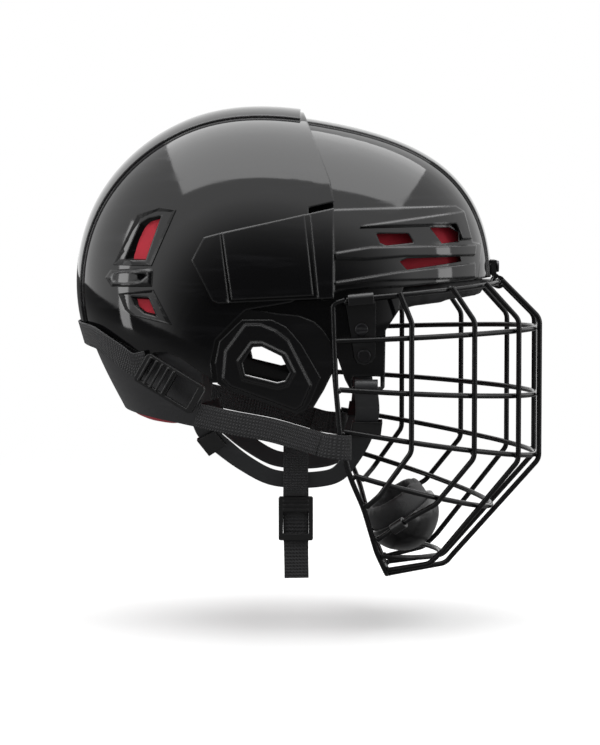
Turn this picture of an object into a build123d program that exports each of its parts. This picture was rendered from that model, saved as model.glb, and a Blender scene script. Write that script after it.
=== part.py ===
"""Ice hockey helmet with a wire face cage, in millimetres.
+X is the front, +Y the wearer's left, +Z up, and the origin is the middle of the head at brow height."""
from build123d import *
from math import atan2, cos, degrees, hypot, radians, sin, tan
import os

# overall sizes
helmet_length = 290.0
base_half_width = 94.0
overrun = 60.0
fit = 0.3

# walls and heights over the base surface
front_wall = 2.5
rear_gap = 3.0
rear_wall = 2.5
rear_band_rise = 2.0
rear_band_half_width = 37.0
ridge_rise = 1.5
ridge_half_width = 22.0
arm_gap = 1.5
arm_floor = 1.6
arm_plate = 2.0
band_rise = 7.5
strake_rise = 2.5
band_crown_rise = 1.0
nape_wall = 3.0
foam_depth = 15.0
rear_outer_rise = rear_gap + rear_wall
arm_inner_rise = rear_outer_rise + arm_gap
arm_floor_rise = arm_inner_rise + arm_floor
arm_top_rise = arm_floor_rise + arm_plate

# cage
wire = 3.6
weld_gap = 0.15
cage_half_width = 97.0
cage_reach = 122.0
cage_middle_x = 60.0
pivot_x = 155.5
pivot_z = 13.0

# screws, clips and webbing
screw_shank = 4.0
screw_head = 9.0
screw_head_height = 1.5
clip_wall = 1.8
clip_screw_shares = ((0.202, -0.057), (0.208, -0.117))
brow_clip_y = 9.0
brow_clip_width = 6.0
brow_loop_room = 1.0
brow_shank = 5.5
brow_screw_z = 24.0
webbing = 1.4
webbing_width = 16.0

# the dome: a fan of arches about a hub inside the ear opening
hub_x = -7.0
hub_z = -46.0
hub_radius = 6.0
bearings = (-50, -10, 22, 48, 75, 105, 135, 165, 195, 232)
crown_shares = (0.535, 0.546, 0.581, 0.640, 0.603, 0.600, 0.548, 0.438, 0.346, 0.352)
arch_steps = (18, 42, 68)
side_power = 2.9
crown_power = 2.4
width_power = 2.3


def spots(shares):
    """side view places from shares of the helmet's length"""
    return [(x * helmet_length, z * helmet_length) for x, z in shares]


def dome(side_rise, crown_rise):
    """the head form grown by a rise at the sides and over the crown"""
    half_width = base_half_width + side_rise
    with BuildPart() as form:
        for bearing, crown_share in zip(bearings, crown_shares):
            run = cos(radians(bearing))
            climb = sin(radians(bearing))
            reach = crown_share * helmet_length + crown_rise
            power = side_power + (crown_power - side_power) * max(climb, 0)
            bow = [(half_width * cos(radians(a)) ** (2 / width_power), reach * sin(radians(a)) ** (2 / power))
                   for a in arch_steps]
            right = [(-y, r) for y, r in bow]
            with BuildSketch(Plane(origin=(hub_x, 0, hub_z), x_dir=(0, 1, 0), z_dir=(climb, 0, -run))):
                with BuildLine():
                    arch = Spline((-half_width, hub_radius), *right, (0, reach), *reversed(bow),
                                  (half_width, hub_radius), tangents=((0, 1), (0, -1)))
                    Line(arch @ 1, arch @ 0)
                make_face()
        loft()
    return form.part


def side_form(outlines, cuts=(), holes=(), hole_radius=0, half_depth=base_half_width + overrun):
    """side view outlines, less cut outlines and round holes, run through the whole width"""
    with BuildPart() as form:
        with BuildSketch(Plane.XZ):
            for shares in outlines:
                with BuildLine():
                    Polyline(*spots(shares), close=True)
                make_face()
            for shares in cuts:
                with BuildLine():
                    Polyline(*spots(shares), close=True)
                make_face(mode=Mode.SUBTRACT)
            for x, z in spots(holes):
                with Locations((x, z)):
                    Circle(hole_radius, mode=Mode.SUBTRACT)
        extrude(amount=half_depth, both=True)
    return form.part


def capped(outer, outlines, cuts=(), holes=(), hole_radius=0):
    """side view outlines filled out to a dome"""
    with BuildPart() as form:
        add(side_form(outlines, cuts, holes, hole_radius))
        add(outer, mode=Mode.INTERSECT)
    return form.part


def layer(outer, inner, outlines, cuts=()):
    """the skin between two domes inside side view outlines"""
    with BuildPart() as form:
        add(capped(outer, outlines, cuts))
        add(inner, mode=Mode.SUBTRACT)
    return form.part


def even(part):
    """the right half of a part joined to its own mirror, so that both sides are alike"""
    with BuildPart() as form:
        add(part)
        split(bisect_by=Plane.XZ)
        mirror(about=Plane.XZ)
    return form.part


def save(part, name):
    part.label = name
    export_step(part, "parts/" + name + ".step")


os.makedirs("parts", exist_ok=True)

base_outer = dome(0, 0)
base_inner = dome(-front_wall, -front_wall)
band_outer = dome(band_rise, band_crown_rise)
strake_outer = dome(band_rise + strake_rise, band_crown_rise + strake_rise)
arm_outer = dome(arm_top_rise, arm_top_rise)
arm_middle = dome(arm_floor_rise, arm_floor_rise)
arm_inner = dome(arm_inner_rise, arm_inner_rise)

# front shell: the brow and crown, the temples, the layered side band and the arms over the rear shell
front_outline_shares = ((-0.014, 0.520), (0.620, 0.520), (0.620, 0.066), (0.300, 0.040), (0.290, -0.012),
                        (0.258, -0.060), (0.256, -0.191), (0.247, -0.203), (0.180, -0.203), (0.164, -0.173),
                        (0.146, -0.120), (0.129, -0.092), (0.106, -0.062), (0.074, -0.035), (0.054, -0.029),
                        (-0.120, -0.010), (-0.120, 0.120), (0.055, 0.228))
band_shares = ((0.110, 0.014), (0.115, 0.217), (0.426, 0.227), (0.448, 0.214), (0.466, 0.142), (0.490, 0.137),
               (0.480, 0.057), (0.300, 0.042), (0.220, 0.040), (0.150, 0.034))
strake_shares = (((0.200, 0.180), (0.446, 0.214), (0.463, 0.150), (0.440, 0.150), (0.425, 0.186)),
                 ((0.142, 0.119), (0.223, 0.132), (0.475, 0.135), (0.471, 0.112), (0.306, 0.112),
                  (0.213, 0.105), (0.142, 0.107)),
                 ((0.142, 0.052), (0.283, 0.074), (0.471, 0.093), (0.471, 0.060), (0.257, 0.056), (0.142, 0.048)))
arm_shares = ((-0.189, 0.102), (-0.161, 0.155), (-0.120, 0.166), (0.138, 0.222), (0.138, 0.016),
              (-0.127, 0.004), (-0.140, 0.010))
tab_recess_shares = ((-0.130, 0.220), (0.078, 0.260), (0.102, 0.017), (0.100, -0.020), (-0.098, -0.020))
arm_root_shares = ((0.106, 0.018), (0.106, 0.212), (0.135, 0.218), (0.135, 0.018))
shell_vent_shares = (((0.236, 0.163), (0.245, 0.142), (0.259, 0.136), (0.322, 0.142), (0.310, 0.163)),
                     ((0.362, 0.177), (0.390, 0.140), (0.430, 0.144), (0.430, 0.165), (0.409, 0.177)),
                     ((0.290, 0.099), (0.307, 0.106), (0.432, 0.109), (0.436, 0.098), (0.307, 0.080)))
webbing_slot_shares = ((0.181, -0.166), (0.246, -0.166), (0.246, -0.190), (0.181, -0.190))

with BuildPart() as tab_recess:
    add(side_form((tab_recess_shares,)))
    add(arm_middle, mode=Mode.SUBTRACT)
with BuildPart() as arms:
    add(layer(arm_outer, arm_inner, (arm_shares,)))
    add(tab_recess.part, mode=Mode.SUBTRACT)
with BuildPart() as ridge:
    with BuildSketch(Plane.XY):
        with Locations((helmet_length / 2, 0)):
            Rectangle(helmet_length, 2 * ridge_half_width)
    extrude(amount=helmet_length)
    add(dome(ridge_rise, ridge_rise), mode=Mode.INTERSECT)
    add(side_form((front_outline_shares,)), mode=Mode.INTERSECT)
with BuildPart() as front_shell:
    add(capped(base_outer, (front_outline_shares,), (*shell_vent_shares, webbing_slot_shares), clip_screw_shares,
               screw_shank / 2 + fit))
    add(capped(band_outer, (band_shares,), shell_vent_shares))
    add(capped(arm_middle, (arm_root_shares,)))
    add(capped(strake_outer, strake_shares))
    add(ridge.part)
    add(base_inner, mode=Mode.SUBTRACT)
    add(arms.part)
    with BuildSketch(Plane.YZ.offset(pivot_x - overrun / 2)):
        with Locations((-brow_clip_y, brow_screw_z)):
            Circle(screw_shank / 2 + fit)
    extrude(amount=overrun, mode=Mode.SUBTRACT)
save(even(front_shell.part), "front_shell")

# rear shell: slides under the arms, with a raised band over its middle and the vents in its quarters
rear_outline_shares = ((0.066, 0.520), (0.066, 0.455), (0.102, 0.359), (0.130, 0.286), (0.140, 0.236),
                       (0.080, 0.222), (0.080, 0.030), (0.040, 0.006), (-0.064, -0.012), (-0.085, -0.032),
                       (-0.133, -0.081), (-0.144, -0.133), (-0.140, -0.170), (-0.158, -0.161), (-0.215, -0.122),
                       (-0.249, -0.110), (-0.298, -0.119), (-0.374, -0.081), (-0.419, -0.104),
                       (-0.560, -0.100), (-0.560, 0.520))
rear_band_shares = ((0.060, 0.520), (0.060, 0.200), (-0.200, 0.200), (-0.300, -0.050), (-0.560, -0.090),
                    (-0.560, 0.520))
rear_vent_shares = (((-0.347, 0.101), (-0.310, 0.186), (-0.291, 0.198), (-0.261, 0.204), (-0.297, 0.101)),
                    ((-0.331, 0.018), (-0.322, -0.003), (-0.300, -0.021), (-0.270, -0.028), (-0.289, 0.016)))
rear_outer = dome(rear_outer_rise, rear_outer_rise)
rear_inner = dome(rear_gap, rear_gap)
with BuildPart() as rear_band:
    with BuildSketch(Plane.XY.offset(-helmet_length / 2)):
        Rectangle(2 * helmet_length, 2 * rear_band_half_width)
    extrude(amount=helmet_length)
    add(side_form((rear_band_shares,)), mode=Mode.INTERSECT)
    add(dome(rear_outer_rise + rear_band_rise, rear_outer_rise + rear_band_rise), mode=Mode.INTERSECT)
with BuildPart() as rear_shell:
    add(capped(rear_outer, (rear_outline_shares,), rear_vent_shares))
    add(rear_band.part)
    add(rear_inner, mode=Mode.SUBTRACT)
save(even(rear_shell.part), "rear_shell")

# nape piece: the soft grip moulding under the rear shell
nape_shares = ((-0.560, -0.070), (-0.450, -0.270), (-0.361, -0.255), (-0.223, -0.276), (-0.172, -0.285),
               (-0.165, -0.200), (-0.165, -0.075), (-0.300, -0.070), (-0.374, -0.060))
nape_outer = dome(rear_gap - fit, rear_gap - fit)
nape_piece = layer(nape_outer, dome(rear_gap - fit - nape_wall, rear_gap - fit - nape_wall), (nape_shares,))
save(even(nape_piece), "nape_piece")

# foam liners, the brow pad below the front rim and the pad in the nape piece
front_foam_shares = ((-0.125, 0.520), (0.620, 0.520), (0.620, 0.080), (0.300, 0.050), (0.250, 0.030),
                     (0.240, -0.140), (0.190, -0.150), (0.150, -0.090), (0.100, -0.030), (0.050, 0.006),
                     (-0.125, 0.006))
brow_pad_shares = ((0.254, 0.028), (0.300, 0.048), (0.620, 0.078), (0.620, 0.034), (0.480, 0.012),
                   (0.290, -0.016), (0.254, -0.030))
rear_foam_shares = ((-0.130, 0.520), (-0.560, 0.520), (-0.560, -0.060), (-0.374, -0.055), (-0.300, -0.060),
                    (-0.160, -0.030), (-0.130, -0.010))
nape_pad_shares = ((-0.560, -0.085), (-0.450, -0.275), (-0.361, -0.268), (-0.223, -0.286), (-0.207, -0.288),
                   (-0.207, -0.225), (-0.240, -0.090))
head_form = dome(-foam_depth, -foam_depth)
liner_outer = dome(-front_wall - fit, -front_wall - fit)
front_foam = layer(liner_outer, head_form, (front_foam_shares,))
save(even(front_foam), "front_foam")
brow_pad = layer(liner_outer, head_form, (brow_pad_shares,))
save(even(brow_pad), "brow_pad")
rear_foam = layer(nape_outer, head_form, (rear_foam_shares,))
save(even(rear_foam), "rear_foam")
nape_pad_rise = rear_gap - fit - nape_wall - fit
nape_pad = layer(dome(nape_pad_rise, nape_pad_rise), head_form, (nape_pad_shares,))
save(even(nape_pad), "nape_pad")


def skin_half_width(x, z, rise=0):
    """half width of the helmet's side at a side view place"""
    reach_x = x - hub_x
    reach_z = z - hub_z
    bearing = degrees(atan2(reach_z, reach_x))
    if bearing < bearings[0]:
        bearing += 360
    steps = [i for i in range(len(bearings) - 1) if bearings[i] <= bearing]
    i = steps[-1]
    part_way = (bearing - bearings[i]) / (bearings[i + 1] - bearings[i])
    crown = (crown_shares[i] + (crown_shares[i + 1] - crown_shares[i]) * part_way) * helmet_length + rise
    power = side_power + (crown_power - side_power) * max(sin(radians(bearing)), 0)
    fill = 1 - (hypot(reach_x, reach_z) / crown) ** power
    return (base_half_width + rise) * fill ** (1 / width_power)


def mirrored(part):
    with BuildPart() as form:
        mirror(part, about=Plane.XZ)
    return form.part


def pair(part, name):
    """the right piece and its mirror on the left"""
    save(part, name + "_right")
    save(mirrored(part), name + "_left")


# lock tabs: the flip plates in the arms' recesses
tab_shares = ((-0.1185, 0.1655), (0.071, 0.208), (0.0915, 0.022), (-0.0965, 0.012))
tab_inner_rise = arm_floor_rise + fit
tabs = layer(arm_outer, dome(tab_inner_rise, tab_inner_rise), (tab_shares,))
pair(tabs.solids().sort_by(Axis.Y)[0], "lock_tab")

# ear guards: an eight sided plate with a raised face and a rimmed ear opening, hung inside the shell
ear_plate_y = 95.0
ear_plate = 3.0
ear_face = 1.8
ear_rim = 1.4
ear_tab_y = 87.2
ear_tab = 2.4
ear_plate_shares = ((-0.073, -0.033), (-0.125, -0.083), (-0.135, -0.133), (-0.129, -0.181), (-0.105, -0.195),
                    (0.054, -0.252), (0.074, -0.242), (0.086, -0.223), (0.109, -0.167), (0.065, -0.091),
                    (0.030, -0.050), (-0.004, -0.033))
ear_face_shares = ((-0.066, -0.043), (-0.030, -0.043), (0.006, -0.058), (0.034, -0.080), (0.087, -0.184),
                   (0.066, -0.232), (0.050, -0.243), (-0.100, -0.188), (-0.118, -0.170), (-0.112, -0.105))
ear_rim_shares = ((-0.052, -0.084), (-0.026, -0.084), (0.028, -0.110), (0.050, -0.154), (0.033, -0.185),
                  (0.010, -0.192), (-0.072, -0.172), (-0.084, -0.127))
ear_hole_shares = ((-0.047, -0.096), (-0.027, -0.095), (0.018, -0.117), (0.037, -0.154), (0.026, -0.174),
                   (0.008, -0.178), (-0.065, -0.160), (-0.071, -0.133))
ear_tab_shares = ((-0.066, -0.040), (-0.066, -0.002), (-0.006, -0.002), (-0.006, -0.040))
ear_step_shares = ((-0.066, -0.040), (-0.066, -0.033), (-0.006, -0.033), (-0.006, -0.040))


def plate(shares, start_y, thickness, taper=0):
    """a right side plate, grown outwards from its inner face"""
    with BuildSketch(Plane.XZ.offset(start_y)) as outline:
        with BuildLine():
            Polyline(*spots(shares), close=True)
        make_face()
    extrude(outline.sketch, amount=thickness, taper=taper)


with BuildPart() as ear_guard:
    plate(ear_plate_shares, ear_plate_y, ear_plate)
    plate(ear_face_shares, ear_plate_y + ear_plate, ear_face, 25)
    plate(ear_rim_shares, ear_plate_y + ear_plate + ear_face, ear_rim, 20)
    plate(ear_tab_shares, ear_tab_y, ear_tab)
    plate(ear_step_shares, ear_tab_y, ear_plate_y + ear_plate - ear_tab_y)
    with BuildSketch(Plane.XZ.offset(ear_tab_y)):
        with BuildLine():
            Polyline(*spots(ear_hole_shares), close=True)
        make_face()
    extrude(amount=overrun, mode=Mode.SUBTRACT)
pair(ear_guard.part, "ear_guard")

# the cage: level bars inside, upright wires welded across them outside, on one bent frame
lap = wire + weld_gap
half_tangent = tan(radians(22.5))
bend_room_share = 0.45


def rod(points, radii, radius=wire / 2):
    """round wire along straight runs joined by arcs"""
    with BuildPart() as form:
        with BuildLine() as path:
            FilletPolyline(*points, radius=radii)
        with BuildSketch(Plane(origin=path.line @ 0, z_dir=path.line % 0)):
            Circle(radius)
        sweep()
    return form.part, path.line


def bends(points, radius):
    """corner radii, drawn in where the runs beside a corner are short"""
    radii = []
    for before, here, after in zip(points, points[1:], points[2:]):
        half_turn = radians((here - before).get_angle(after - here)) / 2
        room = min((here - before).length, (after - here).length) * bend_room_share
        radii.append(min(radius, room / tan(half_turn)))
    return radii


def bow_points(rear, reach, middle_x, front_z):
    """a level bar's corners: an oval front between straight sides, sloping from its rear ends"""
    half = -rear.Y
    front_x = middle_x + reach
    slope = (rear.Z - front_z) / (front_x - rear.X)
    corners = ((rear.X, half), (middle_x + reach * half_tangent, half), (front_x, half * half_tangent))
    right = [(x, -y, front_z + (front_x - x) * slope) for x, y in corners]
    left = [(x, -y, z) for x, y, z in reversed(right)]
    turn = atan2(half, reach)
    run = (1 - sin(radians(45))) * hypot(reach, half)
    side_run = min(run, middle_x + reach * half_tangent - rear.X)
    side_radius = 0.95 * side_run / tan(turn / 2)
    nose_radius = 0.95 * min(run, half * half_tangent) / tan((radians(90) - turn) / 2)
    return right + left, (side_radius, nose_radius, nose_radius, side_radius)


def along(line, place, value, high=0.5):
    """the spot on a path, or on its right half, where a coordinate takes a value"""
    low = 0.0
    rising = place(line @ high) > place(line @ low)
    for _ in range(40):
        middle = (low + high) / 2
        if (place(line @ middle) < value) == rising:
            low = middle
        else:
            high = middle
    return low


def depth(spot):
    return spot.Y


def height(spot):
    return spot.Z


frame_shares = ((0.163, 0.335, 0.012), (0.136, 0.335, 0.003), (0.139, 0.335, -0.083), (0.143, 0.338, -0.193),
                (0.152, 0.338, -0.290), (0.171, 0.330, -0.386), (0.208, 0.290, -0.474), (0.241, 0.195, -0.591),
                (0.268, 0.105, -0.655))
frame_radii_shares = (0.012, 0.30, 0.40, 0.30, 0.20, 0.15, 0.20, 0.06)
frame_right = [(x * helmet_length, -y * helmet_length, z * helmet_length) for x, y, z in frame_shares]
frame_left = [(x, -y, z) for x, y, z in reversed(frame_right)]
frame_radii = [share * helmet_length for share in frame_radii_shares]
cage_frame, frame_line = rod(frame_right + frame_left, frame_radii + frame_radii[::-1])
save(cage_frame, "cage_frame")
top_rear = Vector(frame_right[0][0] + wire / 4, frame_right[0][1], frame_right[0][2])
top_points, top_radii = bow_points(top_rear, pivot_x - cage_middle_x, cage_middle_x, pivot_z)
cage_top_wire, top_line = rod(top_points, top_radii)
save(cage_top_wire, "cage_top_wire")

# each bar: where its rear end meets the frame, its reach past the cage's middle, its middle and its front height
bar_shares = ((-0.083, 0.4207, 0.207, -0.064), (-0.195, 0.4207, 0.207, -0.223), (-0.291, 0.4207, 0.207, -0.369),
              (-0.394, 0.350, 0.172, -0.494), (-0.600, 0.152, 0.247, -0.613))
bars = []
for number, (rear_share, reach_share, middle_share, front_share) in enumerate(bar_shares):
    meets = frame_line @ along(frame_line, height, rear_share * helmet_length)
    way = frame_line % along(frame_line, height, rear_share * helmet_length)
    clear = wire / 2 * (1 + abs(way.X)) + 2 * weld_gap
    rear = meets + Vector(clear / hypot(way.Y, way.Z), 0, 0)
    rear.Y = max(rear.Y, -cage_half_width)
    points, radii = bow_points(rear, reach_share * helmet_length, middle_share * helmet_length,
                               front_share * helmet_length)
    bar, bar_line = rod(points, radii)
    bars.append(bar_line)
    save(bar, "cage_bar_" + str(number + 1))


def outside(line, half, down):
    """a place that laps a bar on its outside, for a wire that crosses it in the direction down"""
    u = along(line, depth, -half)
    across = (line % u).cross(down).normalized()
    if across.dot((line @ u) - Vector(cage_middle_x, 0, (line @ u).Z)) < 0:
        across = across * -1
    return (line @ u) + across * lap


# uprights: each one's half width at the bars, where it turns in, its half width at the fourth bar, the height
# of the corner past it, its further corners and where it ends on the frame
upright_shares = (("cage_upright_outer", 0.3265, -0.338, 0.319, -0.440, (), -0.470),
                  ("cage_upright_side", 0.270, -0.357, 0.266, -0.466, ((0.322, 0.262, -0.497),), -0.558),
                  ("cage_upright_front", 0.182, -0.372, 0.168, -0.590, ((0.366, 0.158, -0.621),), -0.642),
                  ("cage_upright_centre", 0.072, -0.378, 0.070, -0.612, ((0.409, 0.075, -0.630),), -0.653))
upright_top_share = -0.040
upright_bend_share = 0.032
down = Vector(0, 0, -1)
for name, half_share, turn_share, low_half_share, corner_share, corner_shares, end_share in upright_shares:
    top = outside(top_line, half_share * helmet_length, down)
    stand = outside(bars[0], half_share * helmet_length, down)
    turn = Vector(stand.X, stand.Y, turn_share * helmet_length)
    low = bars[3] @ along(bars[3], depth, -low_half_share * helmet_length)
    passing = outside(bars[3], low_half_share * helmet_length, (low - turn).normalized())
    corner = turn + (passing - turn) * ((corner_share * helmet_length - turn.Z) / (passing.Z - turn.Z))
    corners = [corner] + [Vector(x, -y, z) * helmet_length for x, y, z in corner_shares]
    end_u = along(frame_line, height, end_share * helmet_length)
    end_way = frame_line % end_u
    last_run = corners[-1] - (frame_line @ end_u)
    end_out = (last_run - end_way * last_run.dot(end_way)).normalized()
    lean = abs(last_run.dot(end_way)) / hypot(last_run.dot(end_way), last_run.dot(end_out) - lap)
    end = (frame_line @ end_u) + end_out * (wire / 2 * (1 + lean) + weld_gap)
    points = [top + Vector(0, 0, wire / 2), Vector(stand.X, stand.Y, upright_top_share * helmet_length), turn,
              *corners, end]
    upright, upright_line = rod(points, bends(points, upright_bend_share * helmet_length))
    with BuildPart() as uprights:
        add(upright)
        mirror(upright, about=Plane.XZ)
    save(uprights.part, name)
    if name == "cage_upright_side":
        clip_line = upright_line

# chin cup: a foam lined bowl that opens up and back, clipped to the side uprights' lower runs
cup_middle_shares = (0.303, -0.514)
cup_tilt = 32.0
cup_wall = 2.5
cup_foam = 8.0
cup_foam_round = 2.5
cup_outline_shares = ((-0.044, 0.088, 0.150), (0.0, 0.091, 0.158), (0.036, 0.086, 0.150), (0.066, 0.066, 0.120),
                      (0.088, 0.034, 0.066))
cup_tab_width = 10.0
cup_clip_share = -0.520
cup_x, cup_z = spots((cup_middle_shares,))[0]
cup_axis = Vector(sin(radians(cup_tilt)), 0, -cos(radians(cup_tilt)))
cup_rim = Vector(cos(radians(cup_tilt)), 0, sin(radians(cup_tilt)))


def bowl(levels, shrink):
    """an oval bowl down the cup's axis, drawn in by a wall"""
    with BuildPart() as form:
        for level_share, length_share, width_share in levels:
            centre = Vector(cup_x, 0, cup_z) + cup_axis * (level_share * helmet_length)
            with BuildSketch(Plane(origin=centre, x_dir=cup_rim, z_dir=cup_axis)):
                Ellipse(length_share * helmet_length - shrink, width_share * helmet_length - shrink)
        loft()
    return form.part


cup_inside = bowl([(level - cup_wall / helmet_length, a, b) for level, a, b in cup_outline_shares], cup_wall)
clip_u = along(clip_line, height, cup_clip_share * helmet_length, 1)
clip_spot = clip_line @ clip_u
clip_way = clip_line % clip_u
tab_start = Vector(cup_x, -cup_outline_shares[1][2] * helmet_length + cup_wall, cup_z) + cup_axis * cup_wall
tab_way = (clip_spot - tab_start).normalized()
with BuildPart() as cup_arm:
    with BuildSketch(Plane(origin=tab_start, x_dir=clip_way, z_dir=tab_way)):
        Rectangle(cup_tab_width, cup_wall)
    extrude(amount=(clip_spot - tab_start).length)
    with BuildSketch(Plane(origin=clip_spot - clip_way * (cup_tab_width / 2), z_dir=clip_way)):
        Circle(wire / 2 + fit + clip_wall)
    extrude(amount=cup_tab_width)
    with BuildSketch(Plane(origin=clip_spot - clip_way * overrun / 2, z_dir=clip_way)):
        Circle(wire / 2 + fit)
    extrude(amount=overrun, mode=Mode.SUBTRACT)
with BuildPart() as chin_cup:
    add(bowl(cup_outline_shares[1:], 0))
    add(cup_arm.part)
    mirror(cup_arm.part, about=Plane.XZ)
    add(cup_inside, mode=Mode.SUBTRACT)
save(chin_cup.part, "chin_cup")
foam_levels = [(level - (cup_wall + fit) / helmet_length, a, b) for level, a, b in cup_outline_shares]
pad_levels = [(level - (cup_wall + fit + cup_foam) / helmet_length, a, b) for level, a, b in cup_outline_shares[:4]]
with BuildPart() as chin_foam:
    add(bowl(foam_levels, cup_wall + fit))
    fillet(chin_foam.edges().group_by(Axis.Z)[-1], cup_foam_round)
    add(bowl(pad_levels, cup_wall + fit + cup_foam), mode=Mode.SUBTRACT)
save(chin_foam.part, "chin_foam")

# side clips: a plate on each temple whose hook closes over the cage's top wire from above
side_clip_shares = ((0.166, 0.000), (0.170, 0.014), (0.232, 0.014), (0.235, 0.000), (0.234, -0.119),
                    (0.226, -0.132), (0.208, -0.139), (0.192, -0.134), (0.186, -0.122))
side_clip_y = 86.0
side_clip_face_y = 93.3
side_hook_share = 0.200
hook_length = 17.0
hook_lip = 4.0
skin_fit = dome(fit, fit)
hook_u = along(top_line, lambda spot: spot.X, side_hook_share * helmet_length)
hook_way = top_line % hook_u
with BuildPart() as side_clip:
    plate(side_clip_shares, side_clip_y, side_clip_face_y - side_clip_y)
    with BuildSketch(Plane(origin=(top_line @ hook_u) - hook_way * (hook_length / 2), x_dir=(0, -1, 0),
                           z_dir=hook_way)):
        Circle(wire / 2 + fit + clip_wall)
        with Locations((wire / 2 + fit + clip_wall / 2, hook_lip / 2)):
            Rectangle(clip_wall, hook_lip)
        Circle(wire / 2 + fit, mode=Mode.SUBTRACT)
        with Locations((0, overrun / 2)):
            Rectangle(wire + 2 * fit, overrun, mode=Mode.SUBTRACT)
    extrude(amount=hook_length)
    for x, z in spots(clip_screw_shares):
        with BuildSketch(Plane.XZ.offset(side_clip_y)):
            with Locations((x, z)):
                Circle(screw_shank / 2 + fit)
        extrude(amount=overrun, mode=Mode.SUBTRACT)
    add(skin_fit, mode=Mode.SUBTRACT)
pair(side_clip.part, "side_clip")
with BuildPart() as clip_screws:
    for x, z in spots(clip_screw_shares):
        inner_y = skin_half_width(x, z, -front_wall / 2)
        with BuildSketch(Plane.XZ.offset(inner_y)):
            with Locations((x, z)):
                Circle(screw_shank / 2)
        extrude(amount=side_clip_face_y + fit - inner_y)
        with BuildSketch(Plane.XZ.offset(side_clip_face_y + fit)):
            with Locations((x, z)):
                Circle(screw_head / 2)
        extrude(amount=screw_head_height, taper=15)
    mirror(about=Plane.XZ)
save(clip_screws.part, "clip_screws")

# brow clips: a loop round the top wire on a plate screwed to the brow
brow_clip_shares = ((0.500, 0.062), (0.500, 0.098), (0.531, 0.098), (0.531, 0.066), (0.546, 0.055), (0.528, 0.055),
                    (0.522, 0.062))
brow_face_x = brow_clip_shares[2][0] * helmet_length
with BuildPart() as brow_clip:
    with BuildSketch(Plane.XZ.offset(brow_clip_y - brow_clip_width / 2)):
        with BuildLine():
            Polyline(*spots(brow_clip_shares), close=True)
        make_face()
        with Locations((pivot_x, pivot_z)):
            Circle(wire / 2 + brow_loop_room + clip_wall)
            Circle(wire / 2 + brow_loop_room, mode=Mode.SUBTRACT)
    extrude(amount=brow_clip_width)
    add(dome(ridge_rise + fit, ridge_rise + fit), mode=Mode.SUBTRACT)
    with BuildSketch(Plane.YZ.offset(pivot_x - overrun / 2)):
        with Locations((-brow_clip_y, brow_screw_z)):
            Circle(screw_shank / 2 + fit)
    extrude(amount=overrun, mode=Mode.SUBTRACT)
with BuildPart() as brow_clips:
    add(brow_clip.part)
    mirror(brow_clip.part, about=Plane.XZ)
save(brow_clips.part, "brow_clips")
with BuildPart() as brow_screws:
    with BuildSketch(Plane.YZ.offset(brow_face_x - brow_shank)):
        with Locations((-brow_clip_y, brow_screw_z)):
            Circle(screw_shank / 2)
    extrude(amount=brow_shank + fit)
    with BuildSketch(Plane.YZ.offset(brow_face_x + fit)):
        with Locations((-brow_clip_y, brow_screw_z)):
            Circle(screw_head / 2 - fit)
    extrude(amount=screw_head_height, taper=15)
    mirror(about=Plane.XZ)
save(brow_screws.part, "brow_screws")

# side straps: from the temple slot down under the ear guard and up inside the nape piece
strap_top_y = 92.6
strap_low_y = 66.0
strap_low_z = -122.0
strap_front_z = -60.0
strap_rear_y = 79.2
strap_rear_z = -77.0
strap_front_shares = ((0.183, -0.200), (0.243, -0.200), (0.246, -0.262), (0.226, -0.310), (0.178, -0.395),
                      (0.140, -0.425), (0.080, -0.431), (0.080, -0.391), (0.132, -0.391), (0.152, -0.380),
                      (0.180, -0.305), (0.186, -0.260))
strap_rear_shares = ((0.082, -0.391), (0.082, -0.431), (0.000, -0.426), (-0.030, -0.420), (-0.176, -0.318),
                     (-0.196, -0.262), (-0.146, -0.262), (-0.134, -0.300), (-0.008, -0.391))
front_keeper_shares = ((0.182, -0.268), (0.251, -0.268), (0.247, -0.304), (0.176, -0.304))
rear_keeper_shares = ((-0.180, -0.315), (-0.140, -0.292), (-0.112, -0.326), (-0.152, -0.352))


def leaning(top_y, top_z, low_y, low_z, out=0):
    """a plane through two levels of the right side, leaning in downwards, its own y up the lean"""
    lean = Vector(0, low_y - top_y, top_z - low_z).normalized()
    outward = Vector(1, 0, 0).cross(lean)
    return Plane(origin=Vector(0, -low_y, low_z) + outward * out, x_dir=(1, 0, 0), z_dir=outward), lean.Z


def leaned(shares, low_z, rise):
    return [(x, (z - low_z) / rise) for x, z in spots(shares)]


front_lean, front_rise = leaning(strap_top_y, strap_front_z, strap_low_y, strap_low_z)
rear_lean, rear_rise = leaning(strap_rear_y, strap_rear_z, strap_low_y, strap_low_z)
with BuildPart() as side_strap:
    for lean, rise, shares in ((front_lean, front_rise, strap_front_shares),
                               (rear_lean, rear_rise, strap_rear_shares)):
        with BuildSketch(lean):
            with BuildLine():
                Polyline(*leaned(shares, strap_low_z, rise), close=True)
            make_face()
        extrude(amount=webbing)
    slot_x = (webbing_slot_shares[0][0] + webbing_slot_shares[1][0]) / 2 * helmet_length
    slot_top = webbing_slot_shares[0][1] * helmet_length
    with BuildSketch(Plane.YZ.offset(slot_x - webbing_width / 2)):
        with BuildLine():
            Polyline((-strap_top_y, strap_front_z), (-strap_top_y, slot_top - 2 * webbing),
                     (-side_clip_y, slot_top - 2 * webbing), (-side_clip_y, slot_top - webbing),
                     (-strap_top_y - webbing, slot_top - webbing), (-strap_top_y - webbing, strap_front_z),
                     close=True)
        make_face()
    extrude(amount=webbing_width)
pair(side_strap.part, "side_strap")


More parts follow.
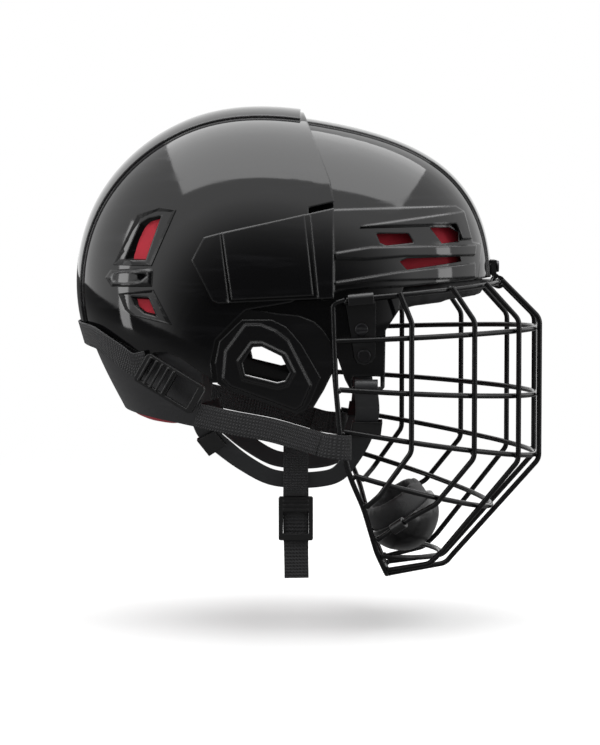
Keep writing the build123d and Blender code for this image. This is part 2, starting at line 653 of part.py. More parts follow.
def keeper(shares, lean, rise, name):
    """a three bar slider round the webbing"""
    with BuildPart() as slider:
        with BuildSketch(lean.offset(-webbing)):
            with BuildLine():
                Polyline(*leaned(shares, strap_low_z, rise), close=True)
            make_face()
        extrude(amount=3.5 * webbing)
        add(side_strap_room, mode=Mode.SUBTRACT)
    pair(slider.part, name)


with BuildPart() as strap_room:
    for lean, rise, shares in ((front_lean, front_rise, strap_front_shares),
                               (rear_lean, rear_rise, strap_rear_shares)):
        with BuildSketch(lean.offset(-fit)):
            with BuildLine():
                Polyline(*leaned(shares, strap_low_z, rise), close=True)
            make_face()
            offset(amount=fit)
        extrude(amount=webbing + 2 * fit)
side_strap_room = strap_room.part
keeper(front_keeper_shares, front_lean, front_rise, "front_keeper")
keeper(rear_keeper_shares, rear_lean, rear_rise, "rear_keeper")

# cage strap: round the back of the shell to a buckle each side, then forward to a sewn loop on the frame
strap_out_rise = rear_outer_rise + rear_band_rise + 2 * fit
back_strap_shares = ((-0.560, -0.020), (-0.430, -0.042), (-0.374, -0.079), (-0.293, -0.127), (-0.300, -0.190),
                     (-0.330, -0.165), (-0.415, -0.115), (-0.560, -0.075))
back_strap = layer(dome(strap_out_rise + webbing, strap_out_rise + webbing), dome(strap_out_rise, strap_out_rise),
                   (back_strap_shares,))
save(even(back_strap), "back_strap")
band_y = ear_plate_y + ear_plate + fit
buckle_rear_shares = (-0.296, -0.146)
buckle_front_shares = (-0.180, -0.215)
buckle_length = 46.0
buckle_width = 21.0
buckle_plate = 3.4
buckle_bar = 3.0
ladder_teeth = 5


def between(rear_shares, front_shares, rear_y, front_y):
    """a plane from one side view place to another, its x along that line and its normal outwards"""
    (rear_x, rear_z), (front_x, front_z) = spots((rear_shares, front_shares))
    way = Vector(front_x - rear_x, rear_y - front_y, front_z - rear_z)
    flat = Vector(front_x - rear_x, rear_y - front_y, 0)
    return Plane(origin=(rear_x, -rear_y, rear_z), x_dir=way, z_dir=flat.cross(Vector(0, 0, 1))), way.length


buckle_rear_y = skin_half_width(*spots((buckle_rear_shares,))[0], strap_out_rise + webbing + fit)
buckle_plane, buckle_run = between(buckle_rear_shares, buckle_front_shares, buckle_rear_y, band_y)
with BuildPart() as buckle:
    with BuildSketch(buckle_plane):
        with Locations((buckle_run / 2, 0)):
            RectangleRounded(buckle_length, buckle_width, buckle_bar)
        with Locations((buckle_run / 2 - buckle_length / 4 + buckle_bar / 2, 0),
                       (buckle_run / 2 + buckle_length / 4 - buckle_bar / 2, 0)):
            Rectangle(buckle_length / 2 - 2 * buckle_bar, webbing_width + 2 * fit, mode=Mode.SUBTRACT)
    extrude(amount=buckle_plate)
    with BuildSketch(buckle_plane.offset(buckle_plate)):
        with Locations((buckle_run / 2 - buckle_length / 4 + buckle_bar / 2, 0)):
            with GridLocations(buckle_length / (2 * ladder_teeth), 0, ladder_teeth, 1):
                Rectangle(buckle_bar / 2, buckle_width - buckle_bar)
    extrude(amount=buckle_bar / 2)
pair(buckle.part, "cage_buckle")

forward_band_shares = ((-0.172, -0.225), (-0.010, -0.256), (0.103, -0.291), (0.103, -0.347), (-0.012, -0.312),
                       (-0.190, -0.281))
loop_shares = ((0.104, -0.291), (0.152, -0.304), (0.152, -0.362), (0.104, -0.347))
with BuildPart() as forward_band:
    plate(forward_band_shares, band_y, webbing)
pair(forward_band.part, "forward_band")
loop_u = along(frame_line, height, (loop_shares[1][1] + loop_shares[2][1]) / 2 * helmet_length)
loop_way = (frame_line % loop_u) if (frame_line % loop_u).Z < 0 else -(frame_line % loop_u)
loop_height = 17.0
loop_radius = wire / 2 + fit
with BuildPart() as cage_loop:
    plate(loop_shares, band_y, webbing)
    with BuildSketch(Plane(origin=(frame_line @ loop_u) - loop_way * (loop_height / 2), z_dir=loop_way)):
        Circle(loop_radius + webbing)
    extrude(amount=loop_height)
    with BuildSketch(Plane(origin=(frame_line @ loop_u) - loop_way * (overrun / 2), z_dir=loop_way)):
        Circle(loop_radius)
    extrude(amount=overrun, mode=Mode.SUBTRACT)
pair(cage_loop.part, "cage_loop")

# chin strap: a sewn fold over the right side strap, a ladder buckle and the free tail
fold_shares = (0.020, 0.080)
fold_top = -96.0
fold_low = -131.0
tail_low = -188.0
fold_room = 7.4
fold_y = 67.6
fold_x, fold_end_x = [share * helmet_length for share in fold_shares]
with BuildPart() as chin_strap:
    with BuildSketch(Plane.YZ.offset(fold_x)):
        with Locations((-fold_y, (fold_top + fold_low) / 2)):
            Rectangle(fold_room + 2 * webbing, fold_top - fold_low)
            Rectangle(fold_room, fold_top - fold_low - 2 * webbing, mode=Mode.SUBTRACT)
        with Locations((-fold_y + fold_room / 2 + webbing / 2, (fold_low + tail_low) / 2)):
            Rectangle(webbing, fold_low - tail_low + 2 * webbing)
    extrude(amount=fold_end_x - fold_x)
save(chin_strap.part, "chin_strap")
chin_buckle_top = fold_low - fit
chin_buckle_height = 30.0
chin_buckle_y = fold_y - fold_room / 2 + fit
with BuildPart() as chin_buckle:
    with BuildSketch(Plane.XZ.offset(chin_buckle_y)):
        with Locations(((fold_x + fold_end_x) / 2, chin_buckle_top - chin_buckle_height / 2)):
            RectangleRounded(fold_end_x - fold_x + 2 * buckle_bar, chin_buckle_height, buckle_bar / 2)
            with Locations((0, -buckle_bar)):
                Rectangle(fold_end_x - fold_x, chin_buckle_height - 5 * buckle_bar, mode=Mode.SUBTRACT)
    extrude(amount=buckle_plate)
    with BuildSketch(Plane.XZ.offset(chin_buckle_y + buckle_plate)):
        with Locations(((fold_x + fold_end_x) / 2, chin_buckle_top - 2 * buckle_bar)):
            with GridLocations(0, buckle_bar, 1, 3):
                Rectangle(fold_end_x - fold_x, buckle_bar / 2)
    extrude(amount=buckle_bar / 3)
save(chin_buckle.part, "chin_buckle")
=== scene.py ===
import bpy
import bmesh
from math import cos, exp, pi, radians, sin
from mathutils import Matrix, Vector
from mathutils.bvhtree import BVHTree


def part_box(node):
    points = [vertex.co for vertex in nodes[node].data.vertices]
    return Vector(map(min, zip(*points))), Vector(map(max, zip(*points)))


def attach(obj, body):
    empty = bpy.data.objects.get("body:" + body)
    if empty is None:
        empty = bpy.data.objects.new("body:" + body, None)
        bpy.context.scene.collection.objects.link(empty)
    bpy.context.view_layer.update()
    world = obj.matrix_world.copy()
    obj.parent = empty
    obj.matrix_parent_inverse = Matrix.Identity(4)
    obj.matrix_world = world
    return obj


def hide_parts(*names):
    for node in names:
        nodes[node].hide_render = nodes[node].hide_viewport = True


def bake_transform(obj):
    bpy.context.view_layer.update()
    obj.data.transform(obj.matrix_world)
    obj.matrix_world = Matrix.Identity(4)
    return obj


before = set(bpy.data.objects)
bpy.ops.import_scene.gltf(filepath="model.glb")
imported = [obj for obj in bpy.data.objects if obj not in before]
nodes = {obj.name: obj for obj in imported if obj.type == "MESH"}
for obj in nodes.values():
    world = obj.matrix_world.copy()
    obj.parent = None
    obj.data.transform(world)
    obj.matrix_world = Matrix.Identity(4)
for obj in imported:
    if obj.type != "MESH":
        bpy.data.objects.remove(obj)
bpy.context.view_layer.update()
mm_per_m = 1000

# Studio. The helmet hangs a few centimetres over a white floor before a white backdrop, under one wide softbox and
# between two narrow ones. The camera looks at the wearer's right side from about brow height.
floor_z = -0.225
look_from = Vector((0.0288, -1.7960, 0.0614))
look_at = Vector((0.0169, 0.0, -0.0510))
camera_data = bpy.data.cameras.new("camera")
camera_data.lens = 123.5
camera_data.sensor_width = 36.0
camera_data.clip_end = 100.0
camera = bpy.data.objects.new("camera", camera_data)
camera.location = look_from
camera.rotation_euler = (look_at - look_from).to_track_quat("-Z", "Y").to_euler()
bpy.context.scene.collection.objects.link(camera)
bpy.context.scene.camera = camera
bpy.context.scene.view_settings.view_transform = "Standard"


def softbox(name, place, aim, width, height, power):
    light = bpy.data.lights.new(name, "AREA")
    light.shape = "RECTANGLE"
    light.size = width
    light.size_y = height
    light.energy = power
    lamp = bpy.data.objects.new(name, light)
    lamp.location = place
    lamp.rotation_euler = (Vector(aim) - Vector(place)).to_track_quat("-Z", "Y").to_euler()
    bpy.context.scene.collection.objects.link(lamp)


softbox("softbox_over", (0.06, 0.10, 1.60), (0.06, 0.10, 0.0), width=2.2, height=2.3, power=46.0)
softbox("softbox_rear", (-1.60, -0.55, 0.35), (0.0, 0.0, -0.05), width=0.35, height=1.3, power=6.0)
softbox("softbox_front", (1.70, -0.60, 0.15), (0.1, 0.0, -0.05), width=0.4, height=1.2, power=5.0)


def fresh_material(name):
    material = bpy.data.materials.new(name)
    material.use_nodes = True
    material.node_tree.nodes.clear()
    return material, material.node_tree


def node(tree, kind, **settings):
    made = tree.nodes.new(kind)
    for key, value in settings.items():
        setattr(made, key, value)
    return made


def join(tree, out, into):
    tree.links.new(out, into)


backdrop_world = bpy.data.worlds.new("backdrop")
backdrop_world.use_nodes = True
tree = backdrop_world.node_tree
tree.nodes.clear()
way = node(tree, "ShaderNodeTexCoord")
parts = node(tree, "ShaderNodeSeparateXYZ")
behind = node(tree, "ShaderNodeMapRange", interpolation_type="SMOOTHSTEP")
behind.inputs["From Min"].default_value = -0.97
behind.inputs["From Max"].default_value = -0.66
behind.inputs["To Min"].default_value = 0.04
behind.inputs["To Max"].default_value = 1.25
path = node(tree, "ShaderNodeLightPath")
room = node(tree, "ShaderNodeBackground")
room.inputs["Color"].default_value = (1.0, 1.0, 1.0, 1.0)
room.inputs["Strength"].default_value = 0.38
mirrored = node(tree, "ShaderNodeBackground")
mirrored.inputs["Color"].default_value = (1.0, 1.0, 1.0, 1.0)
seen = node(tree, "ShaderNodeBackground")
seen.inputs["Color"].default_value = (1.0, 1.0, 1.0, 1.0)
seen.inputs["Strength"].default_value = 1.0
gloss_mix = node(tree, "ShaderNodeMixShader")
seen_mix = node(tree, "ShaderNodeMixShader")
world_out = node(tree, "ShaderNodeOutputWorld")
join(tree, way.outputs["Generated"], parts.inputs[0])
join(tree, parts.outputs["Y"], behind.inputs["Value"])
join(tree, behind.outputs["Result"], mirrored.inputs["Strength"])
join(tree, path.outputs["Is Glossy Ray"], gloss_mix.inputs["Fac"])
join(tree, room.outputs[0], gloss_mix.inputs[1])
join(tree, mirrored.outputs[0], gloss_mix.inputs[2])
join(tree, path.outputs["Is Camera Ray"], seen_mix.inputs["Fac"])
join(tree, gloss_mix.outputs[0], seen_mix.inputs[1])
join(tree, seen.outputs[0], seen_mix.inputs[2])
join(tree, seen_mix.outputs[0], world_out.inputs["Surface"])
bpy.context.scene.world = backdrop_world

floor_bm = bmesh.new()
bmesh.ops.create_grid(floor_bm, x_segments=4, y_segments=4, size=30.0)
bmesh.ops.translate(floor_bm, verts=floor_bm.verts, vec=(0.0, 0.0, floor_z))
floor_mesh = bpy.data.meshes.new("floor")
floor_bm.to_mesh(floor_mesh)
floor_bm.free()
floor = bpy.data.objects.new("floor", floor_mesh)
bpy.context.scene.collection.objects.link(floor)
floor_paint, tree = fresh_material("floor_white")
spot = node(tree, "ShaderNodeTexCoord")
reach = node(tree, "ShaderNodeVectorMath", operation="LENGTH")
fade = node(tree, "ShaderNodeMapRange", interpolation_type="SMOOTHERSTEP")
fade.inputs["From Min"].default_value = 0.3
fade.inputs["From Max"].default_value = 1.3
matt = node(tree, "ShaderNodeBsdfDiffuse")
matt.inputs["Color"].default_value = (0.72, 0.72, 0.72, 1.0)
dim = node(tree, "ShaderNodeBsdfDiffuse")
dim.inputs["Color"].default_value = (0.22, 0.22, 0.22, 1.0)
glow = node(tree, "ShaderNodeEmission")
glow.inputs["Strength"].default_value = 0.36
both = node(tree, "ShaderNodeAddShader")
white = node(tree, "ShaderNodeEmission")
white.inputs["Strength"].default_value = 1.0
far_mix = node(tree, "ShaderNodeMixShader")
path = node(tree, "ShaderNodeLightPath")
sight_mix = node(tree, "ShaderNodeMixShader")
out = node(tree, "ShaderNodeOutputMaterial")
join(tree, spot.outputs["Object"], reach.inputs[0])
join(tree, reach.outputs["Value"], fade.inputs["Value"])
join(tree, matt.outputs[0], both.inputs[0])
join(tree, glow.outputs[0], both.inputs[1])
join(tree, fade.outputs["Result"], far_mix.inputs["Fac"])
join(tree, both.outputs[0], far_mix.inputs[1])
join(tree, white.outputs[0], far_mix.inputs[2])
join(tree, path.outputs["Is Camera Ray"], sight_mix.inputs["Fac"])
join(tree, dim.outputs[0], sight_mix.inputs[1])
join(tree, far_mix.outputs[0], sight_mix.inputs[2])
join(tree, sight_mix.outputs[0], out.inputs["Surface"])
floor_mesh.materials.append(floor_paint)

# Shells. Two injection moulded caps of glossy black plastic: the front one carries the brow, temples and side
# arms, and the rear one slides inside those arms to fit the head. Faint moulding ripple and fine handling marks.


def handling_marks():
    """a group that puts out a faint streak mask and a ripple height for moulded plastic"""
    group = bpy.data.node_groups.new("handling_marks", "ShaderNodeTree")
    group.interface.new_socket(name="Streak size", in_out="INPUT", socket_type="NodeSocketFloat")
    group.interface.new_socket(name="Ripple size", in_out="INPUT", socket_type="NodeSocketFloat")
    group.interface.new_socket(name="Streaks", in_out="OUTPUT", socket_type="NodeSocketFloat")
    group.interface.new_socket(name="Ripple", in_out="OUTPUT", socket_type="NodeSocketFloat")
    given = node(group, "NodeGroupInput")
    made = node(group, "NodeGroupOutput")
    place = node(group, "ShaderNodeTexCoord")
    stretch = node(group, "ShaderNodeMapping")
    stretch.inputs["Scale"].default_value = (1.0, 1.0, 7.0)
    stretch.inputs["Rotation"].default_value = (0.3, 0.9, 0.2)
    streak = node(group, "ShaderNodeTexNoise")
    streak.inputs["Detail"].default_value = 6.0
    thin = node(group, "ShaderNodeMapRange")
    thin.inputs["From Min"].default_value = 0.56
    thin.inputs["From Max"].default_value = 0.74
    ripple = node(group, "ShaderNodeTexNoise")
    ripple.inputs["Detail"].default_value = 1.0
    join(group, place.outputs["Object"], stretch.inputs["Vector"])
    join(group, stretch.outputs[0], streak.inputs["Vector"])
    join(group, given.outputs["Streak size"], streak.inputs["Scale"])
    join(group, streak.outputs["Fac"], thin.inputs["Value"])
    join(group, place.outputs["Object"], ripple.inputs["Vector"])
    join(group, given.outputs["Ripple size"], ripple.inputs["Scale"])
    join(group, thin.outputs["Result"], made.inputs["Streaks"])
    join(group, ripple.outputs["Fac"], made.inputs["Ripple"])
    return group


marks_group = handling_marks()


def plastic(name, colour, worn_colour, *, rough, worn_rough, streak_size, ripple_size, ripple_depth, level=0.5,
            metal=0.0, edge=0.0009):
    """moulded or coated finish: a colour and gloss that the handling marks break a little"""
    material, tree = fresh_material(name)
    marks = node(tree, "ShaderNodeGroup", node_tree=marks_group)
    marks.inputs["Streak size"].default_value = streak_size
    marks.inputs["Ripple size"].default_value = ripple_size
    tint = node(tree, "ShaderNodeMix", data_type="RGBA")
    tint.inputs["A"].default_value = (*colour, 1.0)
    tint.inputs["B"].default_value = (*worn_colour, 1.0)
    polish = node(tree, "ShaderNodeMapRange")
    polish.inputs["To Min"].default_value = rough
    polish.inputs["To Max"].default_value = worn_rough
    rounded = node(tree, "ShaderNodeBevel", samples=6)
    rounded.inputs["Radius"].default_value = edge
    bump = node(tree, "ShaderNodeBump")
    bump.inputs["Strength"].default_value = 1.0
    bump.inputs["Distance"].default_value = ripple_depth
    surface = node(tree, "ShaderNodeBsdfPrincipled")
    surface.inputs["Metallic"].default_value = metal
    surface.inputs["Specular IOR Level"].default_value = level
    out = node(tree, "ShaderNodeOutputMaterial")
    join(tree, marks.outputs["Streaks"], tint.inputs["Factor"])
    join(tree, marks.outputs["Streaks"], polish.inputs["Value"])
    join(tree, marks.outputs["Ripple"], bump.inputs["Height"])
    join(tree, rounded.outputs[0], bump.inputs["Normal"])
    join(tree, tint.outputs["Result"], surface.inputs["Base Color"])
    join(tree, polish.outputs["Result"], surface.inputs["Roughness"])
    join(tree, bump.outputs["Normal"], surface.inputs["Normal"])
    join(tree, surface.outputs[0], out.inputs["Surface"])
    return material


def dress(material, *names):
    for name in names:
        nodes[name].data.materials.clear()
        nodes[name].data.materials.append(material)


shell_gloss = plastic("shell_gloss", (0.004, 0.004, 0.0045), (0.008, 0.008, 0.009), rough=0.06, worn_rough=0.14,
                      streak_size=22.0, ripple_size=60.0, ripple_depth=0.00002, edge=0.0019)
dress(shell_gloss, "front_shell", "rear_shell", "lock_tab_right", "lock_tab_left")

# Foam liners. Moulded red foam, glued into each shell in blocks with channels between them, so that the head
# lies on soft islands and air passes. A separate brow pad closes the front rim, and a pad lines the nape piece.
head_middle = Vector((-0.007, 0.0, -0.012))
same_place = 0.00002
least_facing = 0.35


def grown_mesh(obj):
    """the mesh that an object's modifiers give"""
    bpy.context.view_layer.update()
    return bpy.data.meshes.new_from_object(obj.evaluated_get(bpy.context.evaluated_depsgraph_get()))


def place_mesh(name, mesh):
    piece = bpy.data.objects.new(name, mesh)
    bpy.context.scene.collection.objects.link(piece)
    return piece


def foam_block(name, cad_name, voxel, rounding):
    """a soft edged copy of a liner's space"""
    bm = bmesh.new()
    bm.from_mesh(nodes[cad_name].data)
    bmesh.ops.remove_doubles(bm, verts=bm.verts, dist=same_place)
    mesh = bpy.data.meshes.new(name)
    bm.to_mesh(mesh)
    bm.free()
    rough = place_mesh(name + "_blank", mesh)
    voxels = rough.modifiers.new("voxels", "REMESH")
    voxels.mode = "VOXEL"
    voxels.voxel_size = voxel
    shape = grown_mesh(rough)
    bpy.data.objects.remove(rough)
    bm = bmesh.new()
    bm.from_mesh(shape)
    for _ in range(rounding):
        bmesh.ops.smooth_vert(bm, verts=bm.verts, factor=0.5, use_axis_x=True, use_axis_y=True, use_axis_z=True)
    return bm, shape


def carve(bm, channels, depth, half_width):
    """presses channels into the side that faces the head"""
    bm.normal_update()
    moves = []
    for vert in bm.verts:
        outward = (vert.co - head_middle).normalized()
        facing = -vert.normal.dot(outward)
        if facing < least_facing:
            continue
        near = min(abs(axis.dot(vert.co) - place) for axis, place in channels)
        moves.append((vert, outward * depth * exp(-(near / half_width) ** 2)))
    for vert, move in moves:
        vert.co += move


def foam_red_material():
    material, tree = fresh_material("foam_red")
    place = node(tree, "ShaderNodeTexCoord")
    cells = node(tree, "ShaderNodeTexVoronoi")
    cells.inputs["Scale"].default_value = 1400.0
    mottle = node(tree, "ShaderNodeTexNoise")
    mottle.inputs["Scale"].default_value = 70.0
    mottle.inputs["Detail"].default_value = 3.0
    tint = node(tree, "ShaderNodeMix", data_type="RGBA")
    tint.inputs["A"].default_value = (0.42, 0.006, 0.020, 1.0)
    tint.inputs["B"].default_value = (0.62, 0.014, 0.040, 1.0)
    bump = node(tree, "ShaderNodeBump")
    bump.inputs["Strength"].default_value = 0.6
    bump.inputs["Distance"].default_value = 0.0003
    surface = node(tree, "ShaderNodeBsdfPrincipled")
    surface.inputs["Roughness"].default_value = 0.72
    surface.inputs["Sheen Weight"].default_value = 0.15
    out = node(tree, "ShaderNodeOutputMaterial")
    join(tree, place.outputs["Object"], cells.inputs["Vector"])
    join(tree, place.outputs["Object"], mottle.inputs["Vector"])
    join(tree, mottle.outputs["Fac"], tint.inputs["Factor"])
    join(tree, cells.outputs["Distance"], bump.inputs["Height"])
    join(tree, tint.outputs["Result"], surface.inputs["Base Color"])
    join(tree, bump.outputs["Normal"], surface.inputs["Normal"])
    join(tree, surface.outputs[0], out.inputs["Surface"])
    return material


foam_red = foam_red_material()
across = Vector((0.0, 1.0, 0.0))
ahead = Vector((1.0, 0.0, 0.0))
upward = Vector((0.0, 0.0, 1.0))
liner_channels = [(across, 0.030), (across, -0.030), (across, 0.062), (across, -0.062), (ahead, 0.045),
                  (ahead, 0.095), (ahead, -0.075), (ahead, -0.110), (upward, 0.042)]
for name, cad_name, body in (("front_liner", "front_foam", "helmet"), ("rear_liner", "rear_foam", "rear")):
    bm, shape = foam_block(name, cad_name, voxel=0.0035, rounding=4)
    carve(bm, liner_channels, depth=0.0045, half_width=0.0028)
    bm.to_mesh(shape)
    bm.free()
    shape.shade_smooth()
    shape.materials.clear()
    shape.materials.append(foam_red)
    liner = place_mesh(name, shape)
    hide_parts(cad_name)
    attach(liner, body)


blow_frames = 20


def plump(name, cad_name, foam, *, voxel, draw_in, pressure, cap):
    """a pad blown up softly from a slightly smaller blank, as skin over foam"""
    bm, shape = foam_block(name, cad_name, voxel, rounding=3)
    bm.normal_update()
    for vert in bm.verts:
        vert.co -= vert.normal * draw_in
    bm.to_mesh(shape)
    bm.free()
    blank = [vert.co.copy() for vert in shape.vertices]
    pad = place_mesh(name, shape)
    cloth = pad.modifiers.new("skin", "CLOTH")
    cloth.settings.use_pressure = True
    cloth.settings.uniform_pressure_force = pressure
    cloth.settings.effector_weights.gravity = 0.0
    cloth.point_cache.frame_start = 1
    cloth.point_cache.frame_end = blow_frames
    for step in range(1, blow_frames + 1):
        bpy.context.scene.frame_set(step)
    blown = grown_mesh(pad)
    pad.modifiers.remove(cloth)
    for vert, start, target in zip(shape.vertices, blank, blown.vertices):
        move = target.co - start
        vert.co = start + move * min(1.0, cap / max(move.length, 1e-6))
    bpy.data.meshes.remove(blown)
    bpy.context.scene.frame_set(1)
    shape.shade_smooth()
    shape.materials.clear()
    shape.materials.append(foam)
    finer = pad.modifiers.new("finer", "SUBSURF")
    finer.levels = 1
    finer.render_levels = 1
    return pad


foam_black = plastic("foam_black", (0.010, 0.010, 0.011), (0.018, 0.018, 0.019), rough=0.62, worn_rough=0.75,
                     streak_size=25.0, ripple_size=1100.0, ripple_depth=0.00022)
for name, cad_name, body, foam, slot_name in (("brow_cushion", "brow_pad", "helmet", foam_black, "foam_black"),
                                              ("nape_cushion", "nape_pad", "rear", foam_red, "foam_red")):
    cushion = plump(name, cad_name, foam, voxel=0.004, draw_in=0.0006, pressure=3.0, cap=0.0010)
    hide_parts(cad_name)
    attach(cushion, body)

# Vent frames and ribs. Round each vent of the rear shell a black moulded frame slopes in to a smaller window over
# the foam, and a raised panel lies between the two vents of a side. All of them are laid on the rear shell's skin.
# The frames are a touch darker and much less glossy than the shell: painted shade standing in for the recess round each
# vent.


def skin_of(name):
    """the surface of a node, for finding places on it"""
    bm = bmesh.new()
    bm.from_mesh(nodes[name].data)
    skin = BVHTree.FromBMesh(bm)
    bm.free()
    return skin


rear_skin = skin_of("rear_shell")
walk_step = 0.001
walk_steps = 20
off_side = 0.2
least_y = 0.02
least_slope = 0.1
# painted shade: the frames' colour is a touch darker than the shell's and their reflection is weakened, so they read as
# a shaded recess round each vent
vent_painted_shade = plastic("vent_painted_shade", (0.003, 0.003, 0.0033), (0.006, 0.006, 0.0065), rough=0.22, worn_rough=0.34,
                    streak_size=40.0, ripple_size=300.0, ripple_depth=0.00002, level=0.25)


def on_skin(place, middle, side):
    """the spot and normal of the rear shell's skin at a side view place, read further out where there is a hole"""
    away = (place - middle).normalized()
    for step in range(walk_steps):
        probe = place + away * walk_step * step
        hit, normal, _, _ = rear_skin.ray_cast(probe + Vector((0.0, side * off_side, 0.0)), Vector((0.0, -side, 0.0)))
        if hit is not None and hit.y * side > least_y and normal.y * side > least_slope:
            break
    rise = (normal.x * (place.x - hit.x) + normal.z * (place.z - hit.z)) / normal.y
    return Vector((place.x, hit.y - rise, place.z)), normal


def by_rim(place, rim):
    """the spot and normal at a side view place inside a rim, the nearest of the rim's counting most"""
    shares = [1.0 / max((spot.x - place.x) ** 2 + (spot.z - place.z) ** 2, 1e-8) for spot, _ in rim]
    whole = sum(shares)
    depth = sum(share * spot.y for share, (spot, _) in zip(shares, rim)) / whole
    normal = sum((side_way * (share / whole) for share, (_, side_way) in zip(shares, rim)), Vector())
    return Vector((place.x, depth, place.z)), normal.normalized()


def skin_rings(bm, side, rings, pieces, filled):
    """rings of corners laid on the skin at their own depths and joined, the last one filled if asked"""
    first = [Vector((x, 0.0, z)) / mm_per_m for x, z in rings[0][0]]
    middle = sum(first, Vector()) / len(first)
    edges = []
    rim = []
    for ring, sink in rings:
        corners = [Vector((x, 0.0, z)) / mm_per_m for x, z in ring]
        places = [start.lerp(end, piece / pieces) for start, end in zip(corners, corners[1:] + corners[:1])
                  for piece in range(pieces)]
        spots = [by_rim(place, rim) if rim else on_skin(place, middle, side) for place in places]
        rim = rim or spots
        verts = [bm.verts.new(spot - normal * sink) for spot, normal in spots]
        edges += [bm.edges.new((a, b)) for a, b in zip(verts, verts[1:] + verts[:1])]
    bmesh.ops.bridge_loops(bm, edges=edges)
    if filled:
        bm.faces.new(verts)


pieces_a_side = 4


def skin_piece(name, material, ring_sets, *, filled, wall):
    """the same ring sets on both sides of the rear shell, as one thin moulding that rides it"""
    bm = bmesh.new()
    for side in (-1, 1):
        for rings in ring_sets:
            skin_rings(bm, side, rings, pieces_a_side, filled)
    bmesh.ops.recalc_face_normals(bm, faces=bm.faces)
    mesh = bpy.data.meshes.new(name)
    bm.to_mesh(mesh)
    bm.free()
    mesh.materials.append(material)
    piece = place_mesh(name, mesh)
    thick = piece.modifiers.new("thick", "SOLIDIFY")
    thick.thickness = wall
    thick.offset = 0.0
    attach(piece, "rear")


skin_piece("vent_funnels", vent_painted_shade,
           (((((-108.3, 26.0), (-92.0, 59.9), (-76.4, 64.7), (-65.6, 63.0), (-81.8, 25.6)), -0.0004),
             (((-100.6, 29.3), (-89.9, 53.9), (-84.4, 57.4), (-75.7, 59.2), (-86.1, 29.3)), 0.0002),
             (((-91.5, 31.8), (-84.6, 50.8), (-82.2, 54.2), (-78.6, 55.6), (-86.9, 31.8)), 0.0046)),
            ((((-104.6, 7.0), (-99.9, -3.8), (-95.8, -7.4), (-68.0, -13.4), (-80.6, 10.0)), -0.0004),
             (((-96.0, 5.2), (-93.4, -0.9), (-87.0, -6.1), (-78.3, -8.1), (-83.8, 4.6)), 0.0002),
             (((-89.0, 2.4), (-87.4, -0.9), (-85.0, -3.4), (-81.0, -4.6), (-84.4, 2.0)), 0.0044))),
           filled=False, wall=0.0007)
skin_piece("rear_ribs", shell_gloss,
           (((((-114.5, 17.6), (-110.6, 22.8), (-84.0, 24.4), (-80.8, 23.2), (-81.4, 11.8), (-110.0, 11.4)), 0.0002),
             (((-110.0, 17.4), (-108.4, 20.4), (-85.2, 22.0), (-83.4, 21.2), (-83.8, 14.0), (-108.0, 13.6)),
              -0.0013)),),
           filled=True, wall=0.0006)

# Nape piece. A soft rubbery moulding that grips under the back of the head and moves with the rear shell. It has
# a matte grained face.
nape_rubber = plastic("nape_rubber", (0.022, 0.022, 0.024), (0.034, 0.034, 0.036), rough=0.48, worn_rough=0.60,
                      streak_size=30.0, ripple_size=900.0, ripple_depth=0.00012)
dress(nape_rubber, "nape_piece")

# Ear guards. Glossy eight sided plates with a raised face and a rimmed opening, hooked inside the front shell. A
# C shaped flange each side fills the space between ear guard and shells.
dress(shell_gloss, "ear_guard_right", "ear_guard_left")
flange_outline = ((-43.0, -52.0), (-44.5, -38.5), (-41.0, -22.0), (-27.0, -7.5), (-19.0, -1.5), (2.0, -5.5),
                  (17.0, -7.0), (27.0, -11.0), (33.0, -16.5), (39.0, -26.0), (41.6, -37.0), (40.4, -43.0),
                  (33.5, -57.0), (26.0, -69.5), (14.0, -62.0), (18.0, -45.0), (14.0, -32.0), (4.0, -22.0),
                  (-14.0, -20.0), (-24.0, -26.0), (-28.0, -38.0), (-30.0, -52.0))
flange_inner_y = 0.0928
flange_wall = 0.0019
flange_edge = 0.0003
bm = bmesh.new()
for side in (-1, 1):
    corners = [bm.verts.new((x / mm_per_m, side * flange_inner_y, z / mm_per_m)) for x, z in flange_outline]
    sheet = bm.faces.new(corners)
    grown = bmesh.ops.extrude_face_region(bm, geom=[sheet])
    outer = [part for part in grown["geom"] if isinstance(part, bmesh.types.BMVert)]
    bmesh.ops.translate(bm, verts=outer, vec=(0.0, side * flange_wall, 0.0))
bmesh.ops.recalc_face_normals(bm, faces=bm.faces)
bmesh.ops.bevel(bm, geom=bm.edges, offset=flange_edge, segments=2, affect="EDGES", profile=0.5, material=-1)
flange_mesh = bpy.data.meshes.new("ear_flanges")
bm.to_mesh(flange_mesh)
bm.free()
flange_mesh.materials.append(shell_gloss)
ear_flanges = place_mesh("ear_flanges", flange_mesh)
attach(ear_flanges, "helmet")

# Cage. Steel wire bent to shape, the level bars welded inside the upright wires, and the whole powder coated
# satin black. A small weld bead sits wherever an upright crosses a bar and wherever a wire meets the frame.
cage_coat = plastic("cage_coat", (0.005, 0.005, 0.0055), (0.010, 0.010, 0.011), rough=0.24, worn_rough=0.32,
                    streak_size=40.0, ripple_size=1500.0, ripple_depth=0.00006, level=0.3)
level_wires = ["cage_top_wire"] + ["cage_bar_%d" % number for number in range(1, 6)]
upright_wires = ["cage_upright_outer", "cage_upright_side", "cage_upright_front", "cage_upright_centre"]
dress(cage_coat, "cage_frame", *level_wires, *upright_wires)
bead_size = 0.0019
weld_reach = 0.0006
same_weld = 0.004
crossings = []
for first, seconds in (("cage_frame", level_wires + upright_wires), *((wire, upright_wires) for wire in level_wires)):
    skin = skin_of(first)
    for second in seconds:
        for vert in nodes[second].data.vertices:
            spot, _, _, _ = skin.find_nearest(vert.co, weld_reach)
            if spot is None:
                continue
            middle = (spot + vert.co) / 2
            for group in crossings:
                if (group[0] - middle).length < same_weld:
                    group.append(middle)
                    break
            else:
                crossings.append([middle])
bm = bmesh.new()
